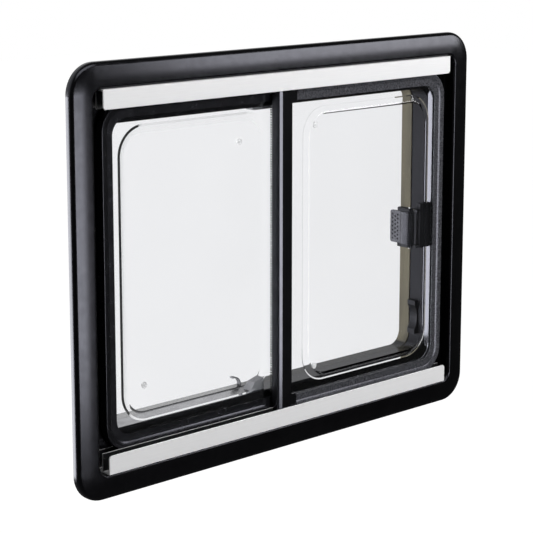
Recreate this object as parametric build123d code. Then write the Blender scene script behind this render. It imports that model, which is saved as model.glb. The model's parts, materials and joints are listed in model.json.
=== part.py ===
from build123d import *
from math import cos, radians
import os

# A sliding caravan window for a cut-out in a thin wall, in millimetres.
# X runs along the width, Z is up, the wall's outer skin is the plane Y = 0 and the front faces -Y.
# Shapes are drawn about the window's middle. The origin is on the back of the lower flange.

# Flange on the wall
WIDTH = 650.0
HEIGHT = 500.0
CORNER = 36.0
OVERLAP = 25.0
CROWN = 11.5
RIM_SIDE = 3.2
RIM_ROUND = 6.0
FACE_SLOPE = 12.0
LIP_CORNER = 12.0
LIP_ROUND = 3.5
SECTION_MARGIN = 1.0

# Sleeve through the wall: a wide recess for the panes in front, a narrower reveal behind
SLEEVE_GAP = 2.0
SLEEVE_WALL = 3.0
SLEEVE_DEPTH = 41.0
RECESS_DEPTH = 14.0
SIDE_LEDGE = 25.0
RAIL_LEDGE = 43.0
REVEAL_CORNER = 18.0
REVEAL_WALL = 16.0
REVEAL_CHAMFER = 2.0

# Bare rim behind the sleeve, past a narrow groove
GROOVE = 3.0
GROOVE_DEEP = 2.5
RIM_DEPTH = 19.0
RIM_STEP = 1.0
RIM_WALL = 5.0
RIM_CHAMFER = 1.5

# Rails with two grooves, and the bright strips before them
RAIL_END_GAP = 11.0
RAIL_HEIGHT = 22.5
STRIP_PROUD = 2.0
STRIP_THICK = 1.5
STRIP_CORNER = 4.0
STRIP_EDGE = 0.5
LEG = 1.5
WEB = 2.0
SEAT = 0.2
TRACK_PLAY = 0.4

# Sashes: a flat and a dished sheet, in a rubber edging on three sides and a stile on the fourth
SASH_END_GAP = 19.5
RAIL_ROOM = 16.8
SASH_CORNER = 32.0
EDGING_SIDE = 16.0
EDGING_RAIL = 17.0
EDGING_REACH = 24.0
EDGING_LIP = 1.5
EDGING_ROUND = 1.2
EDGING_SLOPE = 2.0
EDGING_FALL = 30.0
BULGE_RADIUS = 14.0
CLEAR_CORNER = 20.0
SHEET = 2.5
SHEET_INSET = 5.0
SHEET_GAP = 0.3
SLIDING_DISH_GAP = 20.5
FIXED_DISH_GAP = 13.0
DISH_SIDE_GAP = 21.0
DISH_RAIL_GAP = 3.0
DISH_DEPTH = 4.0
DISH_SLOPE = 8.0
DISH_CORNER = 36.0
DISH_ROUND = 5.0

# Meeting stiles and the brush between them
STILE_LEFT = -20.5
STILE_RIGHT = 1.5
STILE_LEAN = 2.2
STILE_BEVEL = 3.9
STILE_BEVEL_DROP = 1.1
STILE_HEEL = 2.1
HEEL_INSET = 6.0
HEEL_GAP = 6.3
STILE_SLOT = 5.5
BLOCK_LENGTH = 9.0
BLOCK_DROP = 2.0
BLOCK_SETBACK = 1.0
BLOCK_CHAMFER = 3.0
REAR_STILE_LEFT = -6.0
REAR_STILE_RIGHT = 4.0
PILE_WIDTH = 3.0
PILE_GAP = 0.3
PILE_END_GAP = 12.0

# Vent plugs: each place is an inset from two edges of a dish
PLUG_RADIUS = 4.0
PLUG_HIGH = 1.2
SLIDING_PLUG_INSET = (17.0, 22.0)
LOW_PLUG_INSET = (31.0, 44.0)
HIGH_PLUG_INSET = (51.0, 34.0)

# Sliders in the front groove, and the fillers beside the rails
SHOE_LENGTH = 30.0
SHOE_START = 3.0
SHOE_END_GAP = 6.0
SHOE_SIDE_PLAY = 0.8
SHOE_PLAY = 0.3
LIFT_ROOM = 5.0
JAMB_GAP = 1.0
JAMB_STANDOFF = 5.0
JAMB_LAP = 6.0
JAMB_LIP = 3.0
JAMB_CHANNEL = 4.0

# Latch on the room side of the sliding pane
LATCH_INSET = 27.5
PIVOT_STANDOFF = 12.0
LATCH_DROP = 5.0
FLAP_HEIGHT = 43.0
FLAP_REACH = 30.0
FLAP_TIP = 2.6
FLAP_SETBACK = 1.0
FLAP_CORNER = 3.0
RIDGE = 7.0
BARREL_RADIUS = 6.0
HOUSING_DEPTH = 8.0
HOUSING_RISE = 33.0
HOUSING_GAP = 1.0
HOUSING_MARGIN = 0.5
HOUSING_ROUND = 1.5
EAR = 4.0
EAR_GAP = 0.5
EAR_RADIUS = 5.0
EAR_REACH = 15.0
PIN_RADIUS = 1.5
PIN_GAP = 0.3
PIN_STUB = 1.5

# Buffer on the right of the reveal, and the pads near the middle of its head and sill
BUFFER_RISE = 19.0
BUFFER_LENGTH = 46.0
BUFFER_HIGH = 7.0
BUFFER_SCOOP = 5.0
BUFFER_SCOOP_RADIUS = 30.0
BUFFER_SETBACK = 2.0
BUFFER_WIDTH = 13.0
STOP_SETBACK = 6.5
STOP_WIDTH = 13.5
PAD_LENGTH = 38.0
PAD_HIGH = 4.0
WEDGE_RIGHT = -18.0
WEDGE_LENGTH = 22.0
WEDGE_HIGH = 14.0
WEDGE_SHOULDER = 10.0
WEDGE_NOSE = 7.0
HOOK_FOOT = -26.0
HOOK_RADIUS = 11.0
HOOK_TURN = 100.0
HOOK_THICK = 1.6
HOOK_WIDTH = 6.0
HOOK_SETBACK = 2.0

# Half sizes that follow from the sizes above
SLEEVE_X = WIDTH / 2 - OVERLAP - SLEEVE_GAP
SLEEVE_Z = HEIGHT / 2 - OVERLAP - SLEEVE_GAP
RECESS_X = SLEEVE_X - SLEEVE_WALL
RECESS_Z = SLEEVE_Z - SLEEVE_WALL
REVEAL_X = RECESS_X - SIDE_LEDGE
REVEAL_Z = RECESS_Z - RAIL_LEDGE
RAIL_X = RECESS_X - RAIL_END_GAP
RAIL_BACK_Z = RECESS_Z - SEAT
GROOVE_FLOOR_Z = RAIL_BACK_Z - WEB
LEG_END_Z = RAIL_BACK_Z - RAIL_HEIGHT
SASH_X = RECESS_X - SASH_END_GAP
SASH_Z = GROOVE_FLOOR_Z - RAIL_ROOM
CLEAR_X = SASH_X - EDGING_SIDE
CLEAR_Z = SASH_Z - EDGING_RAIL
DISH_X = REVEAL_X - DISH_SIDE_GAP
DISH_Z = REVEAL_Z - DISH_RAIL_GAP
SLIDING_DISH = STILE_RIGHT + SLIDING_DISH_GAP
FIXED_DISH = -REAR_STILE_LEFT + FIXED_DISH_GAP

# Depths that follow, from the front back
STRIP_FRONT = -CROWN - STRIP_PROUD
STRIP_BACK = STRIP_FRONT + STRIP_THICK
EDGING_CROWN = BULGE_RADIUS * (1 - cos(radians(EDGING_FALL)))
PANE_SETBACK = EDGING_CROWN + EDGING_LIP
PANE_THICK = 2 * SHEET + SHEET_GAP
SASH_THICK = PANE_SETBACK + PANE_THICK + EDGING_LIP
FRONT_SASH = STRIP_BACK + TRACK_PLAY
FRONT_SASH_BACK = FRONT_SASH + SASH_THICK
MID_LEG = FRONT_SASH_BACK + TRACK_PLAY
REAR_LEG = RECESS_DEPTH - LEG
REAR_SASH = REAR_LEG - TRACK_PLAY - SASH_THICK
PANE_BACK = FRONT_SASH_BACK - EDGING_LIP

# Pivot of the latch
PIVOT_X = CLEAR_X - LATCH_INSET
PIVOT_Y = PANE_BACK + PIVOT_STANDOFF


def rect(x0, x1, y0, y1):
    """A rectangle between limits."""
    return Pos((x0 + x1) / 2, (y0 + y1) / 2) * Rectangle(x1 - x0, y1 - y0)


def slab(sketch, y0, y1):
    """A sketch in X and Z, extruded between two depths."""
    return extrude(Plane.XZ.offset(-y1) * sketch, y1 - y0)


def bar(section, half):
    """A section in Y and Z, extruded along X to both sides of the middle."""
    return extrude(Plane.YZ.offset(-half) * section, 2 * half)


def post(section, z0, z1):
    """A section in X and Y, extruded between two heights."""
    return extrude(Plane.XY.offset(z0) * section, z1 - z0)


def rounded(half_x, half_z, corner):
    """A rounded rectangle about the window's middle."""
    return RectangleRounded(2 * half_x, 2 * half_z, corner)


def edges_at(shape, y):
    """The edges of a shape that lie in one depth plane."""
    return shape.edges().filter_by_position(Axis.Y, y - 0.01, y + 0.01)


def within(edges, half_x, half_z):
    """Those edges whose middle lies inside a rectangle about the window's middle."""
    return edges.filter_by(lambda e: abs(e.center().X) < half_x and abs(e.center().Z) < half_z)


def upside_down(shape):
    """The shape of the head mirrored to the sill."""
    return mirror(shape, Plane.XY)


def left(shape):
    """The shape of the right-hand side mirrored to the left."""
    return mirror(shape, Plane.YZ)


def section_plane(path):
    """Plane across the start of a path: x points to the window's middle and y off the wall."""
    start = path @ 0
    along = path % 0
    inward = Vector(0, -1, 0).cross(along)
    if inward.dot(start) > 0:
        along = -along
        inward = -inward
    return Plane(origin=start, x_dir=inward, z_dir=along)


def flange():
    """Flange with a rounded rim, a gently crowned face and a rounded lip at the recess."""
    reach = CORNER - SECTION_MARGIN
    side = Line((0, 0), (0, RIM_SIDE))
    rim = JernArc(side @ 1, side % 1, RIM_ROUND, FACE_SLOPE - 90)
    face = TangentArc(rim @ 1, (reach, CROWN), tangent=rim % 1)
    section = make_face([side, rim, face, Line(face @ 1, (reach, 0)), Line((reach, 0), (0, 0))])
    path = (Plane.XZ * rounded(WIDTH / 2, HEIGHT / 2, CORNER)).wire()
    body = sweep(section_plane(path) * section, path=path)
    body -= slab(rounded(RECESS_X, RECESS_Z, LIP_CORNER), -2 * CROWN, CROWN)
    front = body.edges().filter_by_position(Axis.Y, -2 * CROWN, -CROWN + LIP_ROUND)
    return fillet(within(front, RECESS_X + SEAT, RECESS_Z + SEAT), LIP_ROUND)


def outer_frame():
    """Moulded frame: the flange, the sleeve through the wall and the reveal behind the panes."""
    hole = rounded(SLEEVE_X, SLEEVE_Z, LIP_CORNER + SLEEVE_WALL)
    wall = rounded(REVEAL_X + REVEAL_WALL, REVEAL_Z + REVEAL_WALL, REVEAL_CORNER + REVEAL_WALL)
    ledge = RECESS_DEPTH + SLEEVE_WALL
    sleeve = slab(hole - rounded(RECESS_X, RECESS_Z, LIP_CORNER), -RIM_SIDE, ledge)
    sleeve += slab(hole - wall, RECESS_DEPTH, ledge)
    reveal = slab(wall - rounded(REVEAL_X, REVEAL_Z, REVEAL_CORNER), RECESS_DEPTH, SLEEVE_DEPTH)
    corner = within(edges_at(reveal, RECESS_DEPTH), REVEAL_X + SEAT, REVEAL_Z + SEAT)
    reveal = chamfer(corner, REVEAL_CHAMFER)
    groove = rounded(REVEAL_X + GROOVE_DEEP, REVEAL_Z + GROOVE_DEEP, REVEAL_CORNER + GROOVE_DEEP)
    return flange() + sleeve + reveal + slab(wall - groove, SLEEVE_DEPTH, SLEEVE_DEPTH + GROOVE)


def rear_rim():
    """Unpainted rim on the sleeve's end, a little wider than the reveal."""
    start = SLEEVE_DEPTH + GROOVE
    end = start + RIM_DEPTH
    inner = (REVEAL_X + RIM_STEP, REVEAL_Z + RIM_STEP, REVEAL_CORNER + RIM_STEP)
    outer = [size + RIM_WALL for size in inner]
    rim = slab(rounded(*outer) - rounded(*inner), start, end)
    return chamfer(edges_at(rim, end), RIM_CHAMFER)


def track():
    """Rail with two grooves, drawn for the head."""
    section = rect(STRIP_BACK, RECESS_DEPTH, GROOVE_FLOOR_Z, RAIL_BACK_Z)
    for y in (MID_LEG, REAR_LEG):
        section += rect(y, y + LEG, LEG_END_Z, RAIL_BACK_Z)
    return bar(section, RAIL_X)


def rail_strip():
    """Bright strip before the front groove, with round corners toward the panes. Drawn for the head."""
    sketch = rect(-RAIL_X, RAIL_X, LEG_END_Z, RAIL_BACK_Z)
    sketch = fillet(sketch.vertices().group_by(Axis.Y)[0], STRIP_CORNER)
    strip = slab(sketch, STRIP_FRONT, STRIP_BACK)
    return chamfer(edges_at(strip, STRIP_FRONT), STRIP_EDGE)


def jamb_section():
    """Section of the channel between the rails' ends and the recess. Drawn for the right."""
    x0 = RAIL_X + JAMB_GAP
    x1 = RECESS_X - SEAT
    channel = rect(x0 + JAMB_LIP, x1 - JAMB_LIP, JAMB_STANDOFF, JAMB_STANDOFF + JAMB_CHANNEL)
    return rect(x0, x1, JAMB_STANDOFF, RECESS_DEPTH) - channel


def closing_section():
    """The same channel with a lip behind the edge of the closed sliding sash."""
    x0 = SASH_X - JAMB_LAP
    foot = rect(x0, RAIL_X + JAMB_GAP + JAMB_LIP, RECESS_DEPTH - JAMB_LIP, RECESS_DEPTH)
    lip = rect(x0, x0 + JAMB_LIP, MID_LEG, RECESS_DEPTH)
    return jamb_section() + foot + lip


def jamb_strip(section):
    """Upright strip in the recess, clear of the rails' legs."""
    half = LEG_END_Z - JAMB_GAP
    return post(section, -half, half)


def sash_outline(inset, corner, stile_edge):
    """A sash's outline drawn in by an inset: square at the stile, round at the jamb."""
    shape = rect(stile_edge, SASH_X - inset, -SASH_Z + inset, SASH_Z - inset)
    return fillet(shape.vertices().group_by(Axis.X)[-1], corner)


def clear_outline(stile_edge):
    """The opening that a sash's edging leaves clear."""
    shape = rect(stile_edge, CLEAR_X, -CLEAR_Z, CLEAR_Z)
    return fillet(shape.vertices().group_by(Axis.X)[-1], CLEAR_CORNER)


def edging_section():
    """Section of the edging from its outer side inward: bulged in front, with a slot for the sheets."""
    slope = radians(EDGING_SLOPE)
    shoulder = SASH_THICK - EDGING_ROUND * cos(slope) - BULGE_RADIUS * (1 - cos(slope))
    side = Line((0, 0), (0, shoulder))
    rim = JernArc(side @ 1, side % 1, EDGING_ROUND, EDGING_SLOPE - 90)
    bulge = JernArc(rim @ 1, rim % 1, BULGE_RADIUS, -EDGING_SLOPE - EDGING_FALL)
    front = SASH_THICK - EDGING_CROWN
    rest = Polyline(bulge @ 1, (EDGING_REACH, front), (EDGING_REACH, 0), (0, 0))
    slot = rect(SHEET_INSET - SHEET_GAP, EDGING_REACH, EDGING_LIP, EDGING_LIP + PANE_THICK)
    return make_face([side, rim, bulge, rest]) - slot


def edging(front, start):
    """Rubber edging on three sides of a sash, from a start beside its stile."""
    back = front + SASH_THICK
    turns = FilletPolyline((start, SASH_Z), (SASH_X, SASH_Z), (SASH_X, -SASH_Z), (start, -SASH_Z),
                           radius=SASH_CORNER)
    path = Plane.XZ.offset(-back) * turns
    body = sweep(section_plane(path) * edging_section(), path=path)
    return body - slab(clear_outline(start - SHEET), front, back)


def flat_sheet(y0, stile_edge):
    """The flat acrylic sheet of a sash."""
    return slab(sash_outline(SHEET_INSET, SASH_CORNER - SHEET_INSET, stile_edge), y0, y0 + SHEET)


def pan(dish_edge, inset, seat, sign):
    """Solid pan of a dish, drawn in by an inset, which stands off the depth of its seat along sign."""
    middle = (dish_edge + DISH_X) / 2
    half_x = (DISH_X - dish_edge) / 2 - inset
    half_z = DISH_Z - inset
    corner = DISH_CORNER - inset
    top = seat + sign * DISH_DEPTH
    low = Plane.XZ.offset(-seat) * (Pos(middle, 0) * rounded(half_x, half_z, corner))
    high = Plane.XZ.offset(-top) * (Pos(middle, 0) * rounded(half_x - DISH_SLOPE, half_z - DISH_SLOPE,
                                                            corner - DISH_SLOPE))
    return loft([low, high])


def dished_sheet(y0, sheet_edge, dish_edge, sign):
    """The formed acrylic sheet: a flat rim round a shallow pan, round at its top, that bulges along sign."""
    seat = y0 if sign < 0 else y0 + SHEET
    outer = pan(dish_edge, 0, seat, sign)
    outer = fillet(edges_at(outer, seat + sign * DISH_DEPTH), DISH_ROUND)
    inner = pan(dish_edge, SHEET, seat - sign * SHEET, sign)
    return flat_sheet(y0, sheet_edge) + outer - inner


def sheet_slot(x0, x1, front):
    """The slot of a stile that takes both sheets."""
    return rect(x0, x1, front + PANE_SETBACK, front + PANE_SETBACK + PANE_THICK)


def end_block():
    """Block beside the head of the meeting stile, where the edging ends, with a chamfered inner corner."""
    end = STILE_RIGHT + BLOCK_LENGTH
    low = CLEAR_Z - BLOCK_DROP
    shape = rect(STILE_RIGHT, end, low, SASH_Z)
    corner = shape.vertices().group_by(Axis.X)[-1].sort_by(Axis.Y)[0]
    block = slab(chamfer(corner, BLOCK_CHAMFER), FRONT_SASH + BLOCK_SETBACK, FRONT_SASH_BACK)
    slot = sheet_slot(STILE_RIGHT, end, FRONT_SASH)
    return block - post(slot, low, SASH_Z - SHEET_INSET + SHEET_GAP)


def meeting_stile():
    """Stile of the sliding sash: a leaning, rounded left side, a bevel in front and a block at each end."""
    foot = (STILE_LEFT, FRONT_SASH_BACK)
    shoulder = (STILE_LEFT + STILE_LEAN, FRONT_SASH + STILE_BEVEL_DROP)
    nose = (shoulder[0] + STILE_BEVEL, FRONT_SASH)
    section = make_face([TangentArc(foot, shoulder, tangent=(0, -1)),
                         Polyline(shoulder, nose, (STILE_RIGHT, FRONT_SASH),
                                  (STILE_RIGHT, FRONT_SASH_BACK), foot)])
    section -= sheet_slot(STILE_RIGHT - STILE_SLOT, STILE_RIGHT, FRONT_SASH)
    heel = rect(STILE_LEFT, STILE_RIGHT - HEEL_INSET, FRONT_SASH_BACK, FRONT_SASH_BACK + STILE_HEEL)
    reach = LEG_END_Z - HEEL_GAP
    bar_and_heel = post(section, -SASH_Z, SASH_Z) + post(heel, -reach, reach)
    return bar_and_heel + end_block() + upside_down(end_block())


def fixed_stile():
    """Slim edge bar of the fixed sash."""
    section = rect(REAR_STILE_LEFT, REAR_STILE_RIGHT, REAR_SASH, REAR_SASH + SASH_THICK)
    section -= sheet_slot(REAR_STILE_LEFT, REAR_STILE_LEFT + STILE_SLOT, REAR_SASH)
    return post(section, -SASH_Z, SASH_Z)


def meeting_pile():
    """Brush strip on the meeting stile, which sweeps over the fixed pane."""
    back = REAR_SASH + PANE_SETBACK - PILE_GAP
    half = LEG_END_Z - HEEL_GAP - PILE_END_GAP
    section = rect(STILE_LEFT, STILE_LEFT + PILE_WIDTH, FRONT_SASH_BACK + STILE_HEEL, back)
    return post(section, -half, half)


def plugs(points, y, sign):
    """Round vent plugs that stand on a sheet."""
    top = y + sign * PLUG_HIGH
    plug = slab(Circle(PLUG_RADIUS), min(y, top), max(y, top))
    return Compound([Pos(x, 0, z) * plug for x, z in points])


def fixed_plug_points():
    """Places of the fixed pane's plugs: one low at the jamb, one high at the stile."""
    low = (-DISH_X + LOW_PLUG_INSET[0], -DISH_Z + LOW_PLUG_INSET[1])
    high = (-FIXED_DISH - HIGH_PLUG_INSET[0], DISH_Z - HIGH_PLUG_INSET[1])
    return [low, high]


def sliding_plug_points():
    """Places of the sliding pane's plugs, one above the other beside the stile."""
    x = SLIDING_DISH + SLIDING_PLUG_INSET[0]
    z = DISH_Z - SLIDING_PLUG_INSET[1]
    return [(x, z), (x, -z)]


def guide_shoes(play):
    """Two sliders between the sliding sash and the groove's floor. Drawn for the head."""
    first = STILE_RIGHT + SHOE_START
    last = SASH_X - SASH_CORNER - SHOE_LENGTH - SHOE_END_GAP
    shoes = []
    for x in (first, last):
        section = rect(x, x + SHOE_LENGTH, SASH_Z, GROOVE_FLOOR_Z - play)
        shoes.append(slab(section, STRIP_BACK + SHOE_SIDE_PLAY, MID_LEG - SHOE_SIDE_PLAY))
    return Compound(shoes)


def pivot_hole():
    """Clearance for the pivot pin."""
    hole = Pos(PIVOT_X, PIVOT_Y) * Circle(PIN_RADIUS + PIN_GAP)
    return post(hole, -LATCH_DROP - FLAP_HEIGHT, -LATCH_DROP + FLAP_HEIGHT)


def latch_base():
    """Housing of the catch on the back of the sliding pane, with an ear over and under the flap."""
    low = -LATCH_DROP - FLAP_HEIGHT / 2 - EAR_GAP - EAR
    high = -LATCH_DROP + FLAP_HEIGHT / 2 + EAR_GAP
    top = PANE_BACK + HOUSING_DEPTH
    root = PANE_BACK + HOUSING_ROUND
    block = rect(PIVOT_X + BARREL_RADIUS + HOUSING_GAP, CLEAR_X - HOUSING_MARGIN, PANE_BACK, top)
    body = post(block, low, -LATCH_DROP + HOUSING_RISE)
    body = chamfer(edges_at(body, top), HOUSING_ROUND)
    ear = rect(PIVOT_X - EAR_RADIUS, PIVOT_X + EAR_RADIUS, PIVOT_Y, PIVOT_Y + EAR_REACH)
    ear += Pos(PIVOT_X, PIVOT_Y + EAR_REACH) * Circle(EAR_RADIUS)
    ear += Pos(PIVOT_X, PIVOT_Y) * Circle(EAR_RADIUS)
    ear += rect(PIVOT_X, PIVOT_X + 2 * BARREL_RADIUS, root, top - HOUSING_ROUND)
    ear += rect(PIVOT_X, PIVOT_X + EAR_RADIUS, root, PIVOT_Y)
    for z in (low, high):
        body += post(ear, z, z + EAR)
    return body - pivot_hole()


def latch_pin():
    """Pivot pin of the catch."""
    half = FLAP_HEIGHT / 2 + EAR_GAP + EAR + PIN_STUB
    return post(Pos(PIVOT_X, PIVOT_Y) * Circle(PIN_RADIUS), -LATCH_DROP - half, -LATCH_DROP + half)


def latch_flap():
    """Thumb flap: a barrel on the pin, a ridge beside it and a thin plate that reaches into the room."""
    outer = -BARREL_RADIUS + FLAP_SETBACK
    inner = outer + FLAP_TIP
    plate = Polygon((0, 0), (0, BARREL_RADIUS), (inner + FLAP_SETBACK, 2 * BARREL_RADIUS),
                    (inner, FLAP_REACH), (outer, FLAP_REACH), (outer, 2 * BARREL_RADIUS),
                    (-RIDGE, BARREL_RADIUS + RIDGE / 2), (-RIDGE, BARREL_RADIUS),
                    (-BARREL_RADIUS, 0), align=None)
    section = Pos(PIVOT_X, PIVOT_Y) * (plate + Circle(BARREL_RADIUS))
    body = post(section, -LATCH_DROP - FLAP_HEIGHT / 2, -LATCH_DROP + FLAP_HEIGHT / 2)
    tip = body.edges().filter_by(Axis.X).filter_by(lambda e: e.center().Y > PIVOT_Y + FLAP_REACH - SEAT)
    return fillet(tip, FLAP_CORNER) - pivot_hole()


def jamb_bumper():
    """Buffer block on the right of the reveal, with a scooped face."""
    low = -REVEAL_Z + BUFFER_RISE
    middle = low + BUFFER_LENGTH / 2
    scoop_x = REVEAL_X - BUFFER_HIGH + BUFFER_SCOOP - BUFFER_SCOOP_RADIUS
    sketch = rect(REVEAL_X - BUFFER_HIGH, REVEAL_X, low, low + BUFFER_LENGTH)
    sketch -= Pos(scoop_x, middle) * Circle(BUFFER_SCOOP_RADIUS)
    end = SLEEVE_DEPTH - BUFFER_SETBACK
    return slab(sketch, end - BUFFER_WIDTH, end)


def stop_slab(sketch):
    """A stop's sketch, extruded behind the fixed pane."""
    start = RECESS_DEPTH + STOP_SETBACK
    return slab(sketch, start, start + STOP_WIDTH)


def top_centre_stop():
    """Low pad under the head, beside the middle, with sloped ends."""
    low = REVEAL_Z - PAD_HIGH
    return stop_slab(Polygon((-PAD_LENGTH, REVEAL_Z), (-PAD_LENGTH + PAD_HIGH, low), (-PAD_HIGH, low),
                             (0, REVEAL_Z), align=None))


def bottom_centre_stop():
    """Wedge on the sill, and a thin bent hook on the bare rim behind it."""
    wedge_left = WEDGE_RIGHT - WEDGE_LENGTH
    sill = -REVEAL_Z
    wedge = Polygon((WEDGE_RIGHT, sill), (WEDGE_RIGHT, sill + WEDGE_HIGH),
                    (wedge_left + WEDGE_NOSE, sill + WEDGE_SHOULDER), (wedge_left, sill), align=None)
    bend = JernArc((HOOK_FOOT, sill - RIM_STEP), (0, 1), HOOK_RADIUS, HOOK_TURN)
    end = SLEEVE_DEPTH + GROOVE + RIM_DEPTH - HOOK_SETBACK
    hook = slab(trace(bend, HOOK_THICK), end - HOOK_WIDTH, end)
    return Compound([stop_slab(wedge), hook])


def main():
    os.makedirs("parts", exist_ok=True)
    front_sheets = FRONT_SASH + PANE_SETBACK
    rear_sheets = REAR_SASH + PANE_SETBACK
    second = SHEET + SHEET_GAP
    front_edge = STILE_RIGHT - STILE_SLOT + SHEET_GAP
    rear_edge = -REAR_STILE_LEFT - STILE_SLOT + SHEET_GAP
    nodes = {
        "outer_frame": outer_frame(),
        "rear_rim": rear_rim(),
        "top_track": track(),
        "bottom_track": upside_down(track()),
        "top_rail_strip": rail_strip(),
        "bottom_rail_strip": upside_down(rail_strip()),
        "left_jamb_strip": left(jamb_strip(jamb_section())),
        "right_jamb_strip": jamb_strip(closing_section()),
        "jamb_bumper": jamb_bumper(),
        "top_centre_stop": top_centre_stop(),
        "bottom_centre_stop": bottom_centre_stop(),
        "fixed_edging": left(edging(REAR_SASH, -REAR_STILE_LEFT)),
        "fixed_flat_sheet": left(flat_sheet(rear_sheets, rear_edge)),
        "fixed_dished_sheet": left(dished_sheet(rear_sheets + second, rear_edge, FIXED_DISH, 1)),
        "fixed_stile": fixed_stile(),
        "fixed_vent_plugs": plugs(fixed_plug_points(), rear_sheets, -1),
        "sliding_edging": edging(FRONT_SASH, STILE_RIGHT + BLOCK_LENGTH),
        "sliding_dished_sheet": dished_sheet(front_sheets, front_edge, SLIDING_DISH, -1),
        "sliding_flat_sheet": flat_sheet(front_sheets + second, front_edge),
        "meeting_stile": meeting_stile(),
        "meeting_pile": meeting_pile(),
        "sliding_vent_plugs": plugs(sliding_plug_points(), front_sheets - DISH_DEPTH, -1),
        "lower_guide_shoes": upside_down(guide_shoes(SHOE_PLAY)),
        "upper_guide_shoes": guide_shoes(LIFT_ROOM),
        "latch_base": latch_base(),
        "latch_pin": latch_pin(),
        "latch_flap": latch_flap(),
    }
    lift = Pos(0, 0, HEIGHT / 2 - (OVERLAP + SLEEVE_GAP) / 2)
    for name, shape in nodes.items():
        export_step(lift * shape, f"parts/{name}.step")


main()
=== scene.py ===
import json
import math
import random

import bmesh
import bpy
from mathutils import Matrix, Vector


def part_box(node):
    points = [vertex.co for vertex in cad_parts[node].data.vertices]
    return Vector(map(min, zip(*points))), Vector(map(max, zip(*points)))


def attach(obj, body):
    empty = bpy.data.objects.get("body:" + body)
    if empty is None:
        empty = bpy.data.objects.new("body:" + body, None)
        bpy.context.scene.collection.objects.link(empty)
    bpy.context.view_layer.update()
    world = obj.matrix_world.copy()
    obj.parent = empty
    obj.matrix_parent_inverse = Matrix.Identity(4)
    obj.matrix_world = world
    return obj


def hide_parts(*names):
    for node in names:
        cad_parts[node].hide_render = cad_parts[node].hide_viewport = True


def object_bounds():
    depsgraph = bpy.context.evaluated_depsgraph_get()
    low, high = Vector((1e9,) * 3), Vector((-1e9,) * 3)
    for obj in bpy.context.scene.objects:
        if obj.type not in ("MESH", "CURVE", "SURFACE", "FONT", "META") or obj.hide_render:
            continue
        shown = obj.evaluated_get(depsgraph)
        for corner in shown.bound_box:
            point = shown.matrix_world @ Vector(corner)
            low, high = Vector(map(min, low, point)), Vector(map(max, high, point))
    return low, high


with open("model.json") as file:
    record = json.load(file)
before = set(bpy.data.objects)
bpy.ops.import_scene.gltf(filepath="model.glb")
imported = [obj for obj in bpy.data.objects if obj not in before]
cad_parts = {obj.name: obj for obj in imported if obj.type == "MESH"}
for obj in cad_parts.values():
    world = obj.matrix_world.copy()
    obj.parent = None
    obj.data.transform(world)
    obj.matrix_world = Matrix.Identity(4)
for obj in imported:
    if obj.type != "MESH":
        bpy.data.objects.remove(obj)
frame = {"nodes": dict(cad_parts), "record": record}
cad_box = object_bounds()

MM = 0.001
X_AXIS = Vector((1, 0, 0))
Y_AXIS = Vector((0, 1, 0))
Z_AXIS = Vector((0, 0, 1))
WHITE = (1, 1, 1, 1)

# Camera: outside the window, to its left and above its middle
CAMERA_PLACE = (-1.4178, -1.5100, 0.6712)
CAMERA_AZIMUTH = -42.58
CAMERA_ELEVATION = 10.65
CAMERA_LENS = 116.55
CAMERA_SENSOR = 36
CAMERA_SHIFT = -0.10

# Backdrop: behind the window on the left, fading into a dim room over a range of cosines
BACKDROP_AZIMUTH = -155
BACKDROP_FADE = (0.05, 0.5)
BACKDROP_LEVEL = 1.0
ROOM_LEVEL = 0.05

# Floor: well below the window, dark as the window sees it and pale to sight
FLOOR_HALF = 12.0
FLOOR_DROP = 0.9
FLOOR_DARK = (0.06, 0.06, 0.06, 1)
FLOOR_PALE = (0.25, 0.25, 0.25, 1)
FLOOR_GLOW = 0.92

# Lamps that face the window's middle, the last one for the sill under the left pane to mirror
WINDOW_MIDDLE = Vector((0, 0, 236.5 * MM))
LAMPS = {
    "front_box": dict(azimuth=5, elevation=-9.5, distance=1.55, width=0.45, height=0.72, radiance=8.2),
    "right_box": dict(azimuth=49, elevation=21, distance=1.45, width=0.8, height=0.46, radiance=7.0),
    "left_box": dict(azimuth=-128, elevation=-12, distance=1.6, width=1.4, height=1.0, radiance=10.0),
    "top_box": dict(azimuth=-10, elevation=55, distance=1.6, width=1.4, height=0.8, radiance=2.9),
    "sill_box": dict(azimuth=150, elevation=7, distance=0.95, width=0.28, height=0.2, radiance=2.2),
}

# Noises that finishes share, in features per metre, and where most of a noise's values lie
MOTTLE = 30
UNEVEN_GLOSS = 90
GRAIN = 1800
BRUSH_LINES = 1500
NOISE_RANGE = (0.3, 0.7)

# How far a normal points along an axis where a face begins to count as square to it, and where it fully does
SQUARE = (0.5, 0.8)

# Frame: its gloss, and the matt of its upright walls from some depth in the wall
FRAME_ROUGHNESS = (0.19, 0.25)
MATT_ROUGHNESS = 0.75
MATT_DEPTHS = (12 * MM, 15 * MM)

# Panes: a faint mirror, and what they let through of a lamp's light
PANE_IOR = 1.49
PANE_SHEEN = (0.35, 0.35, 0.35, 1)
PANE_SHADE = (0.93, 0.94, 0.94, 1)

# Black plastics and rubbers: the blue tinge of what they mirror
BLACK_SHEEN = (0.85, 0.86, 1.0, 1)

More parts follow.
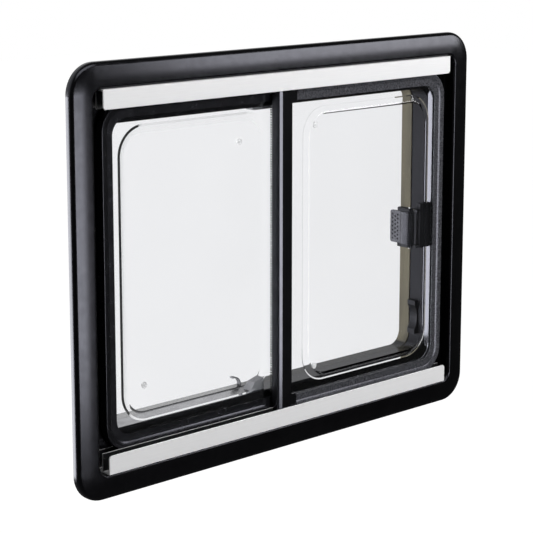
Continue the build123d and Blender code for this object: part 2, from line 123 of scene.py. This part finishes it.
# Moulded plastics: two colours of a mottle, a range of roughness, and how strongly they mirror
PLASTICS = {
    "black_plastic": ((0.002, 0.002, 0.0023), (0.004, 0.004, 0.0045), (0.22, 0.30), 0.5),
    "latch_plastic": ((0.004, 0.004, 0.0045), (0.008, 0.008, 0.009), (0.32, 0.42), 0.3),
    "latch_dark": ((0.006, 0.006, 0.007), (0.010, 0.010, 0.011), (0.45, 0.60), 0.15),
    "gloss_black": ((0.002, 0.002, 0.0023), (0.004, 0.004, 0.0045), (0.15, 0.18), 0.8),
    "grip": ((0.002, 0.002, 0.002), (0.004, 0.004, 0.004), (0.8, 0.95), 0.1),
    "pale_plastic": ((0.20, 0.20, 0.21), (0.26, 0.26, 0.27), (0.5, 0.6), 0.2),
}

# Rubbers: two colours of fine specks
RUBBERS = {
    "black_rubber": ((0.003, 0.003, 0.0035), (0.006, 0.006, 0.007)),
    # painted sheen: the sliding edging is the same black rubber as the other edging, painted paler grey to
    # stand for the sheen it catches
    "rubber_painted_sheen": ((0.025, 0.025, 0.029), (0.085, 0.086, 0.097)),
}

# Nodes that look unlike their slot in the record
OWN_FINISH = {
    "top_track": "rail_track_painted_shade",
    "bottom_track": "rail_track_painted_shade",
    "left_jamb_strip": "gloss_black",
    "right_jamb_strip": "gloss_black",
    "fixed_stile": "gloss_black",
    "meeting_stile": "gloss_black",
    # the sliding edging gets the rubber with the painted sheen
    "sliding_edging": "rubber_painted_sheen",
    "jamb_bumper": "latch_dark",
    "latch_base": "latch_dark",
    "latch_flap": "latch_plastic",
    "top_centre_stop": "pale_plastic",
    "bottom_centre_stop": "pale_plastic",
}

# Vent plugs: a rim round a shallow well, and a pip in its middle
PLUG_STEPS = 32
PLUG_RADIUS = 4.0 * MM
PLUG_RIM = 1.0 * MM
PLUG_WELL = 0.5 * MM
PLUG_PIP = 1.4 * MM
PLUG_PIP_TAPER = 0.7

# Brush strip on the meeting stile: a row of tufts that widen from foot to head, each a little different
TUFT_SEED = 5
TUFT_SIDES = 8
TUFT_PITCH = 3.0 * MM
TUFT_RADIUS = 1.05 * MM
TUFT_FOOT = 0.7
TUFT_WIDTHS = (0.8, 1.1)
TUFT_SHORTER = 0.3 * MM
TUFT_LEAN_X = 0.2 * MM
TUFT_LEAN_Z = 0.4 * MM

# Grip dots on the latch flap's plate: low domes, with shares of their radius and height
DOT_COLUMNS = 3
DOT_ROWS = 7
DOT_PITCH_Y = 4.6 * MM
DOT_PITCH_Z = 5.4 * MM
DOT_RADIUS = 1.3 * MM
DOT_HIGH = 0.35 * MM
DOT_PROFILE = ((1.0, 0.0), (0.8, 0.55), (0.45, 0.88), (0.0, 1.0))
DOT_TIP_MARGIN = 4.0 * MM
DOT_STEPS = 12
PLATE_TIP = 2.0 * MM

# Ribs round the latch flap's barrel
BARREL_RADIUS = 6.0 * MM
RIB_PITCH = 3.0 * MM
RIB_HIGH = 0.35 * MM
RIB_SHARE = 0.85
RIB_STEPS = 32


def direction(azimuth, elevation):
    """Unit vector from the window: azimuth from the front toward +X, elevation upward, in degrees."""
    a = math.radians(azimuth)
    e = math.radians(elevation)
    return Vector((math.sin(a) * math.cos(e), -math.cos(a) * math.cos(e), math.sin(e)))


def new_tree(name):
    """A fresh material with a Principled shader: the material, its node tree and the shader."""
    material = bpy.data.materials.new(name)
    material.use_nodes = True
    tree = material.node_tree
    return material, tree, tree.nodes["Principled BSDF"]


def stretched_noise(tree, scale, stretch=(1, 1, 1), detail=3.0):
    """Noise in features per metre, drawn out along an axis where its stretch is small."""
    place = tree.nodes.new("ShaderNodeTexCoord")
    mapping = tree.nodes.new("ShaderNodeMapping")
    mapping.inputs["Scale"].default_value = stretch
    noise = tree.nodes.new("ShaderNodeTexNoise")
    noise.inputs["Scale"].default_value = scale
    noise.inputs["Detail"].default_value = detail
    tree.links.new(place.outputs["Object"], mapping.inputs["Vector"])
    tree.links.new(mapping.outputs["Vector"], noise.inputs["Vector"])
    return noise.outputs["Fac"]


def spread(tree, value, old, new):
    """Maps a value from an old range to a new one, and stops at its ends."""
    node = tree.nodes.new("ShaderNodeMapRange")
    node.inputs["From Min"].default_value = old[0]
    node.inputs["From Max"].default_value = old[1]
    node.inputs["To Min"].default_value = new[0]
    node.inputs["To Max"].default_value = new[1]
    tree.links.new(value, node.inputs["Value"])
    return node.outputs["Result"]


def combine(tree, operation, first, second):
    """Joins two values by a Math node's operation."""
    node = tree.nodes.new("ShaderNodeMath")
    node.operation = operation
    tree.links.new(first, node.inputs[0])
    tree.links.new(second, node.inputs[1])
    return node.outputs["Value"]


def along_axis(tree, vector, axis):
    """One of a vector's three parts."""
    split = tree.nodes.new("ShaderNodeSeparateXYZ")
    tree.links.new(vector, split.inputs["Vector"])
    return split.outputs[axis]


def depth_in_wall(tree):
    """How far a point lies behind the wall's skin."""
    place = tree.nodes.new("ShaderNodeTexCoord")
    return along_axis(tree, place.outputs["Object"], "Y")


def facing(tree, axis):
    """How squarely a face looks along an axis, either way, from nought to one."""
    geometry = tree.nodes.new("ShaderNodeNewGeometry")
    size = tree.nodes.new("ShaderNodeMath")
    size.operation = "ABSOLUTE"
    tree.links.new(along_axis(tree, geometry.outputs["Normal"], axis), size.inputs[0])
    return size.outputs["Value"]


def colour_over(tree, shader, value, low, high, start=0.35, end=0.65):
    """Blends the base colour from low to high over a value."""
    ramp = tree.nodes.new("ShaderNodeValToRGB")
    ramp.color_ramp.elements[0].position = start
    ramp.color_ramp.elements[0].color = (*low, 1)
    ramp.color_ramp.elements[1].position = end
    ramp.color_ramp.elements[1].color = (*high, 1)
    tree.links.new(value, ramp.inputs["Fac"])
    tree.links.new(ramp.outputs["Color"], shader.inputs["Base Color"])


def roughness_over(tree, shader, noise, low, high):
    """Spreads the roughness between two levels over a noise."""
    tree.links.new(spread(tree, noise, NOISE_RANGE, (low, high)), shader.inputs["Roughness"])


def bump_over(tree, shader, value, distance, strength):
    """Raises the surface by a small distance over a value."""
    bump = tree.nodes.new("ShaderNodeBump")
    bump.inputs["Strength"].default_value = strength
    bump.inputs["Distance"].default_value = distance
    tree.links.new(value, bump.inputs["Height"])
    tree.links.new(bump.outputs["Normal"], shader.inputs["Normal"])


def moulded_grain(tree, shader, distance):
    """The fine grain of a mould."""
    bump_over(tree, shader, stretched_noise(tree, GRAIN, detail=2.0), distance, strength=0.35)


def brushing(tree):
    """Fine lines along a rail."""
    return stretched_noise(tree, BRUSH_LINES, stretch=(0.02, 1, 1), detail=4.0)


def gloss(shader, level):
    """Sets how strongly a black finish mirrors, with the slight blue of such finishes."""
    shader.inputs["Specular IOR Level"].default_value = level
    shader.inputs["Specular Tint"].default_value = BLACK_SHEEN


def mix_shaders(tree, share, first, second, output):
    """Sends a blend of two shaders to an output node: the first alone at a share of nought."""
    mix = tree.nodes.new("ShaderNodeMixShader")
    tree.links.new(share, mix.inputs["Fac"])
    tree.links.new(first, mix.inputs[1])
    tree.links.new(second, mix.inputs[2])
    tree.links.new(mix.outputs["Shader"], tree.nodes[output].inputs["Surface"])


def frame_black():
    """Moulded black frame: smooth and glossy, but matt on the upright walls behind the panes."""
    material, tree, shader = new_tree("frame_black")
    colour_over(tree, shader, stretched_noise(tree, MOTTLE),
                low=(0.0008, 0.0008, 0.0009), high=(0.0016, 0.0016, 0.0018))
    uneven = spread(tree, stretched_noise(tree, UNEVEN_GLOSS), NOISE_RANGE, FRAME_ROUGHNESS)
    inside = spread(tree, depth_in_wall(tree), MATT_DEPTHS, (0.0, MATT_ROUGHNESS))
    upright = spread(tree, facing(tree, "X"), SQUARE, (0.0, MATT_ROUGHNESS))
    matt = combine(tree, "MINIMUM", inside, upright)
    tree.links.new(combine(tree, "MAXIMUM", uneven, matt), shader.inputs["Roughness"])
    moulded_grain(tree, shader, 0.005 * MM)
    gloss(shader, 0.42)
    return material


def moulded_plastic(name, low, high, roughness, mirror):
    """Moulded plastic: a slight mottle, a fine grain and uneven gloss."""
    material, tree, shader = new_tree(name)
    colour_over(tree, shader, stretched_noise(tree, MOTTLE), low, high)
    roughness_over(tree, shader, stretched_noise(tree, UNEVEN_GLOSS), *roughness)
    moulded_grain(tree, shader, 0.008 * MM)
    gloss(shader, mirror)
    return material


def raw_foam():
    """Unpainted rim: khaki with streaks on its uprights; its smooth sill and head take a dark colour as
    painted shade in place of the khaki.
    """
    material, tree, shader = new_tree("raw_foam")
    streaks = stretched_noise(tree, 60, stretch=(1, 1, 0.15), detail=6.0)
    # painted shade: faces square to Z, the sill and head, get the dark colour instead of khaki; on the
    # uprights the dark streaks are overspray
    upright = spread(tree, facing(tree, "Z"), SQUARE, (1.0, 0.0))
    khaki = combine(tree, "MINIMUM", streaks, upright)
    colour_over(tree, shader, khaki, low=(0.02, 0.02, 0.02), high=(0.12, 0.107, 0.074), start=0.0)
    tree.links.new(spread(tree, upright, (0.0, 1.0), (0.2, 0.7)), shader.inputs["Roughness"])
    bump_over(tree, shader, stretched_noise(tree, 900), distance=0.02 * MM, strength=0.3)
    shader.inputs["Specular IOR Level"].default_value = 0.25
    return material


def rail_strip():
    """Bright satin strip, finely brushed along its length."""
    material, tree, shader = new_tree("rail_metal")
    lines = brushing(tree)
    colour_over(tree, shader, lines, low=(0.93, 0.93, 0.94), high=(0.96, 0.96, 0.97))
    roughness_over(tree, shader, lines, low=0.40, high=0.46)
    bump_over(tree, shader, lines, distance=0.008 * MM, strength=0.2)
    shader.inputs["Metallic"].default_value = 0.1
    return material


def rail_track_painted_shade():
    """Rail whose faces square to Y, the walls of its grooves, are painted dark as painted shade, with bright
    cut edges and ends.
    """
    material, tree, shader = new_tree("rail_track_painted_shade")
    # painted shade: faces square to Y get a dark colour that stands for the shade deep inside the grooves
    colour_over(tree, shader, facing(tree, "Y"), low=(0.95, 0.95, 0.96), high=(0.006, 0.006, 0.007),
                start=0.5, end=0.6)
    lines = brushing(tree)
    roughness_over(tree, shader, lines, low=0.32, high=0.42)
    bump_over(tree, shader, lines, distance=0.01 * MM, strength=0.3)
    return material


def rubber(name, low, high):
    """Rubber edging with a glossy skin, a fine grain and specks between two colours."""
    material, tree, shader = new_tree(name)
    colour_over(tree, shader, stretched_noise(tree, 500, detail=5.0), low, high)
    roughness_over(tree, shader, stretched_noise(tree, 120), low=0.20, high=0.28)
    bump_over(tree, shader, stretched_noise(tree, 1200), distance=0.03 * MM, strength=0.4)
    gloss(shader, 0.6)
    return material


def brush_fibre():
    """Matt black fibre of the brush strip."""
    material, tree, shader = new_tree("brush_fibre")
    colour_over(tree, shader, stretched_noise(tree, 900),
                low=(0.002, 0.002, 0.002), high=(0.008, 0.008, 0.008))
    roughness_over(tree, shader, stretched_noise(tree, 700), low=0.7, high=0.95)
    fibres = stretched_noise(tree, 4000, stretch=(1, 0.1, 1))
    bump_over(tree, shader, fibres, distance=0.1 * MM, strength=0.8)
    shader.inputs["Specular IOR Level"].default_value = 0.1
    return material


def acrylic():
    """Clear acrylic that lets lamps through, with faint waves from forming."""
    material, tree, shader = new_tree("acrylic")
    shader.inputs["Transmission Weight"].default_value = 1.0
    shader.inputs["IOR"].default_value = PANE_IOR
    shader.inputs["Specular Tint"].default_value = PANE_SHEEN
    colour_over(tree, shader, stretched_noise(tree, 6), low=(0.943, 0.946, 0.955), high=(0.951, 0.954, 0.963))
    roughness_over(tree, shader, stretched_noise(tree, 40), low=0.0, high=0.01)
    bump_over(tree, shader, stretched_noise(tree, 12), distance=0.05 * MM, strength=0.2)
    clear = tree.nodes.new("ShaderNodeBsdfTransparent")
    clear.inputs["Color"].default_value = PANE_SHADE
    path = tree.nodes.new("ShaderNodeLightPath")
    mix_shaders(tree, path.outputs["Is Shadow Ray"], shader.outputs["BSDF"], clear.outputs["BSDF"],
                "Material Output")
    return material


def plug_clear():
    """Milky plastic of the vent plugs."""
    material, tree, shader = new_tree("plug_clear")
    colour_over(tree, shader, stretched_noise(tree, 400), low=(0.84, 0.85, 0.86), high=(0.93, 0.94, 0.95))
    roughness_over(tree, shader, stretched_noise(tree, 600), low=0.15, high=0.30)
    bump_over(tree, shader, stretched_noise(tree, 2500), distance=0.03 * MM, strength=0.4)
    return material


def pin_steel():
    """Drawn steel of the latch pin."""
    material, tree, shader = new_tree("pin_steel")
    drawn = stretched_noise(tree, 3000, stretch=(1, 1, 0.05))
    colour_over(tree, shader, drawn, low=(0.50, 0.50, 0.52), high=(0.70, 0.70, 0.72))
    roughness_over(tree, shader, drawn, low=0.22, high=0.38)
    bump_over(tree, shader, drawn, distance=0.02 * MM, strength=0.4)
    shader.inputs["Metallic"].default_value = 1.0
    return material


def make_materials():
    """One procedural material for each finish in the record, and a few more for single nodes."""
    materials = {
        "frame_black": frame_black(),
        "raw_foam": raw_foam(),
        "rail_metal": rail_strip(),
        "rail_track_painted_shade": rail_track_painted_shade(),
        "pile": brush_fibre(),
        "acrylic": acrylic(),
        "plug_clear": plug_clear(),
        "pin_steel": pin_steel(),
    }
    for name, look in PLASTICS.items():
        materials[name] = moulded_plastic(name, *look)
    for name, look in RUBBERS.items():
        materials[name] = rubber(name, *look)
    return materials


def dress_nodes(materials):
    """Gives every solid the finish of its slot, or one of its own."""
    for part in frame["record"]["subparts"]:
        node = frame["nodes"][part["node"]]
        finish = OWN_FINISH.get(part["node"], part["material_slot"])
        node.data.materials.clear()
        node.data.materials.append(materials[finish])


def add_object(name, data):
    """A new object in the scene."""
    added = bpy.data.objects.new(name, data)
    bpy.context.scene.collection.objects.link(added)
    return added


def object_from(bm, name, material):
    """Turns a bmesh into an object of one material."""
    mesh = bpy.data.meshes.new(name)
    bm.to_mesh(mesh)
    bm.free()
    mesh.materials.append(material)
    return add_object(name, mesh)


def piece_from(bm, name, material, body):
    """Turns a bmesh into a smooth piece that rides on a body."""
    bmesh.ops.recalc_face_normals(bm, faces=bm.faces)
    for face in bm.faces:
        face.smooth = True
    piece = object_from(bm, name, material)
    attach(piece, body)
    return piece


def ring(bm, centre, radius, steps, across, up):
    """Points round a centre in the plane of two axes, or the centre alone where the radius is nought."""
    if radius == 0:
        return [bm.verts.new(centre)]
    angles = [2 * math.pi * i / steps for i in range(steps)]
    return [bm.verts.new(centre + radius * (math.cos(a) * across + math.sin(a) * up)) for a in angles]


def join_rings(bm, first, second):
    """Joins two rings by faces all round. A ring of one point is a tip."""
    steps = max(len(first), len(second))
    for i in range(steps):
        j = (i + 1) % steps
        corners = [first[i % len(first)], first[j % len(first)],
                   second[j % len(second)], second[i % len(second)]]
        bm.faces.new(list(dict.fromkeys(corners)))


def loft(bm, rings):
    """Joins each ring to the next."""
    for first, second in zip(rings, rings[1:]):
        join_rings(bm, first, second)


def plug_centres(node):
    """Where a pane's two plugs stand: at the low and the high end of their node's box."""
    low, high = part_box(node)
    return [Vector((low.x + PLUG_RADIUS, high.y, low.z + PLUG_RADIUS)),
            Vector((high.x - PLUG_RADIUS, high.y, high.z - PLUG_RADIUS))]


def plug_profile(thick):
    """Half the section of a plug as (radius, depth), from its back round its rim to its pip."""
    well = PLUG_WELL - thick
    back = [(0, 0), (PLUG_RADIUS, 0)]
    rim = [(PLUG_RADIUS, well), (PLUG_RADIUS - PLUG_RIM / 2, -thick), (PLUG_RADIUS - PLUG_RIM, well)]
    pip = [(PLUG_PIP, well), (PLUG_PIP * PLUG_PIP_TAPER, -thick), (0, -thick)]
    return back + rim + pip


def vent_plugs(node, name, material):
    """Two plugs with a raised rim and a pip in a shallow well, in place of a pane's plain discs."""
    low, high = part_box(node)
    profile = plug_profile(high.y - low.y)
    bm = bmesh.new()
    for centre in plug_centres(node):
        loft(bm, [ring(bm, centre + depth * Y_AXIS, radius, PLUG_STEPS, X_AXIS, Z_AXIS)
                  for radius, depth in profile])
    piece = piece_from(bm, name, material, "frame")
    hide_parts(node)


def brush_strip(material):
    """A row of tufts of fibre, in place of the plain strip on the meeting stile."""
    low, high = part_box("meeting_pile")
    chance = random.Random(TUFT_SEED)
    bm = bmesh.new()
    for i in range(int((high.z - low.z) / TUFT_PITCH)):
        z = low.z + TUFT_PITCH * (i + 0.5)
        add_tuft(bm, (low.x + high.x) / 2, z, low.y, high.y, chance)
    piece = piece_from(bm, "brush_tufts", material, "frame")
    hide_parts("meeting_pile")


def add_tuft(bm, x, z, root, tip, chance):
    """Adds one tuft from its root to its tip, a little uneven in length, width and lean."""
    tip -= chance.uniform(0, TUFT_SHORTER)
    width = TUFT_RADIUS * chance.uniform(*TUFT_WIDTHS)
    lean_x = chance.uniform(-TUFT_LEAN_X, TUFT_LEAN_X)
    lean_z = chance.uniform(-TUFT_LEAN_Z, TUFT_LEAN_Z)
    foot = Vector((x, root, z))
    head = Vector((x + lean_x, tip, z + lean_z))
    ends = [ring(bm, foot, width * TUFT_FOOT, TUFT_SIDES, X_AXIS, Z_AXIS),
            ring(bm, head, width, TUFT_SIDES, X_AXIS, Z_AXIS)]
    loft(bm, ends)
    for end in ends:
        bm.faces.new(end)


def plate_face():
    """Where the flap's plate faces the stile: the lowest X near its tip."""
    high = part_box("latch_flap")[1]
    points = [v.co for v in frame["nodes"]["latch_flap"].data.vertices]
    return min(p.x for p in points if p.y > high.y - PLATE_TIP)


def grip_dots(material):
    """Staggered low domes on the outer half of the latch flap, on the side toward the stile."""
    low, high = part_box("latch_flap")
    face_x = plate_face()
    middle_z = (low.z + high.z) / 2
    bm = bmesh.new()
    for column in range(DOT_COLUMNS):
        y = high.y - DOT_TIP_MARGIN - DOT_PITCH_Y * column
        rows = DOT_ROWS - column % 2
        for row in range(rows):
            z = middle_z + DOT_PITCH_Z * (row - (rows - 1) / 2)
            add_dome(bm, Vector((face_x, y, z)))
    piece_from(bm, "latch_grip_dots", material, "latch")


def add_dome(bm, foot):
    """Adds a low dome that stands on a face toward -X."""
    rings = [ring(bm, foot - DOT_HIGH * height * X_AXIS, DOT_RADIUS * radius, DOT_STEPS, Y_AXIS, Z_AXIS)
             for radius, height in DOT_PROFILE]
    loft(bm, rings)
    bm.faces.new(rings[0])


def barrel_ribs(material):
    """Thin ribs round the flap's barrel."""
    low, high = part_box("latch_flap")
    axis = frame["record"]["behaviour"]["joints"][0]["pos_m"]
    count = int((high.z - low.z) / RIB_PITCH)
    bm = bmesh.new()
    for i in range(count):
        z = low.z + (high.z - low.z) * (i + 0.5) / count
        add_rib(bm, Vector((axis[0], axis[1], z)))
    piece_from(bm, "latch_barrel_ribs", material, "latch")


def add_rib(bm, centre):
    """Adds one ring of triangular section round the barrel."""
    half = RIB_PITCH * RIB_SHARE / 2
    root = BARREL_RADIUS - RIB_HIGH
    profile = ((root, -half), (BARREL_RADIUS + RIB_HIGH, 0), (root, half))
    rings = [ring(bm, centre + height * Z_AXIS, radius, RIB_STEPS, X_AXIS, Y_AXIS)
             for radius, height in profile]
    loft(bm, rings + rings[:1])


def white_to_sight(tree):
    """One for rays that see the backdrop straight or through clear panes alone, nought for the rest."""
    path = tree.nodes.new("ShaderNodeLightPath")
    through = path.outputs["Is Transmission Ray"]
    for depth in ("Glossy Depth", "Diffuse Depth"):
        unbounced = spread(tree, path.outputs[depth], (0.0, 1.0), (1.0, 0.0))
        through = combine(tree, "MULTIPLY", through, unbounced)
    return combine(tree, "MAXIMUM", path.outputs["Is Camera Ray"], through)


def backdrop_world():
    """White to sight and through the panes. Other rays find a white backdrop in a dim room."""
    world = bpy.data.worlds.new("backdrop")
    world.use_nodes = True
    bpy.context.scene.world = world
    tree = world.node_tree
    place = tree.nodes.new("ShaderNodeTexCoord")
    toward = tree.nodes.new("ShaderNodeVectorMath")
    toward.operation = "DOT_PRODUCT"
    toward.inputs[1].default_value = direction(BACKDROP_AZIMUTH, 0)
    tree.links.new(place.outputs["Generated"], toward.inputs[0])
    level = spread(tree, toward.outputs["Value"], BACKDROP_FADE, (ROOM_LEVEL, BACKDROP_LEVEL))
    room = tree.nodes["Background"]
    room.inputs["Color"].default_value = WHITE
    tree.links.new(level, room.inputs["Strength"])
    sight = tree.nodes.new("ShaderNodeBackground")
    sight.inputs["Color"].default_value = WHITE
    mix_shaders(tree, white_to_sight(tree), room.outputs["Background"], sight.outputs["Background"],
                "World Output")


def floor_material():
    """Pale floor, white to sight where nothing shades it. It sends little light up at the object."""
    material, tree, shader = new_tree("floor")
    shader.inputs["Base Color"].default_value = FLOOR_DARK
    shader.inputs["Roughness"].default_value = 1.0
    pale = tree.nodes.new("ShaderNodeBsdfDiffuse")
    pale.inputs["Color"].default_value = FLOOR_PALE
    glow = tree.nodes.new("ShaderNodeEmission")
    glow.inputs["Strength"].default_value = FLOOR_GLOW
    both = tree.nodes.new("ShaderNodeAddShader")
    tree.links.new(pale.outputs["BSDF"], both.inputs[0])
    tree.links.new(glow.outputs["Emission"], both.inputs[1])
    mix_shaders(tree, white_to_sight(tree), shader.outputs["BSDF"], both.outputs["Shader"], "Material Output")
    return material


def floor():
    """A wide floor below the window."""
    level = cad_box[0].z - FLOOR_DROP
    bm = bmesh.new()
    corners = [(-1, -1), (1, -1), (1, 1), (-1, 1)]
    bm.faces.new([bm.verts.new((FLOOR_HALF * x, FLOOR_HALF * y, level)) for x, y in corners])
    ground = object_from(bm, "floor", floor_material())


def soft_box(name, azimuth, elevation, distance, width, height, radiance):
    """A soft lamp that faces the window's middle, as bright as the radiance says, and out of sight."""
    data = bpy.data.lights.new(name, "AREA")
    data.shape = "RECTANGLE"
    data.size = width
    data.size_y = height
    data.energy = radiance * math.pi * width * height
    lamp = add_object(name, data)
    toward = direction(azimuth, elevation)
    lamp.location = WINDOW_MIDDLE + toward * distance
    lamp.rotation_euler = toward.to_track_quat("Z", "Y").to_euler()
    lamp.visible_camera = False
    lamp.visible_transmission = False


def camera():
    """The photograph's view."""
    data = bpy.data.cameras.new("camera")
    data.lens = CAMERA_LENS
    data.sensor_width = CAMERA_SENSOR
    data.shift_y = CAMERA_SHIFT
    view = add_object("camera", data)
    view.location = CAMERA_PLACE
    back = direction(CAMERA_AZIMUTH, CAMERA_ELEVATION)
    view.rotation_euler = (-back).to_track_quat("-Z", "Y").to_euler()
    bpy.context.scene.camera = view


def studio():
    """Backdrop, floor, lamps and camera."""
    bpy.context.scene.view_settings.view_transform = "Standard"
    backdrop_world()
    floor()
    for name, lamp in LAMPS.items():
        soft_box(name, **lamp)
    camera()


def main():
    """Dresses the solids, adds what is too fine for them, and sets the studio up round them."""
    materials = make_materials()
    dress_nodes(materials)
    vent_plugs("fixed_vent_plugs", "fixed_plug_caps", materials["plug_clear"])
    vent_plugs("sliding_vent_plugs", "sliding_plug_caps", materials["plug_clear"])
    brush_strip(materials["pile"])
    grip_dots(materials["grip"])
    barrel_ribs(materials["latch_dark"])
    studio()


main()
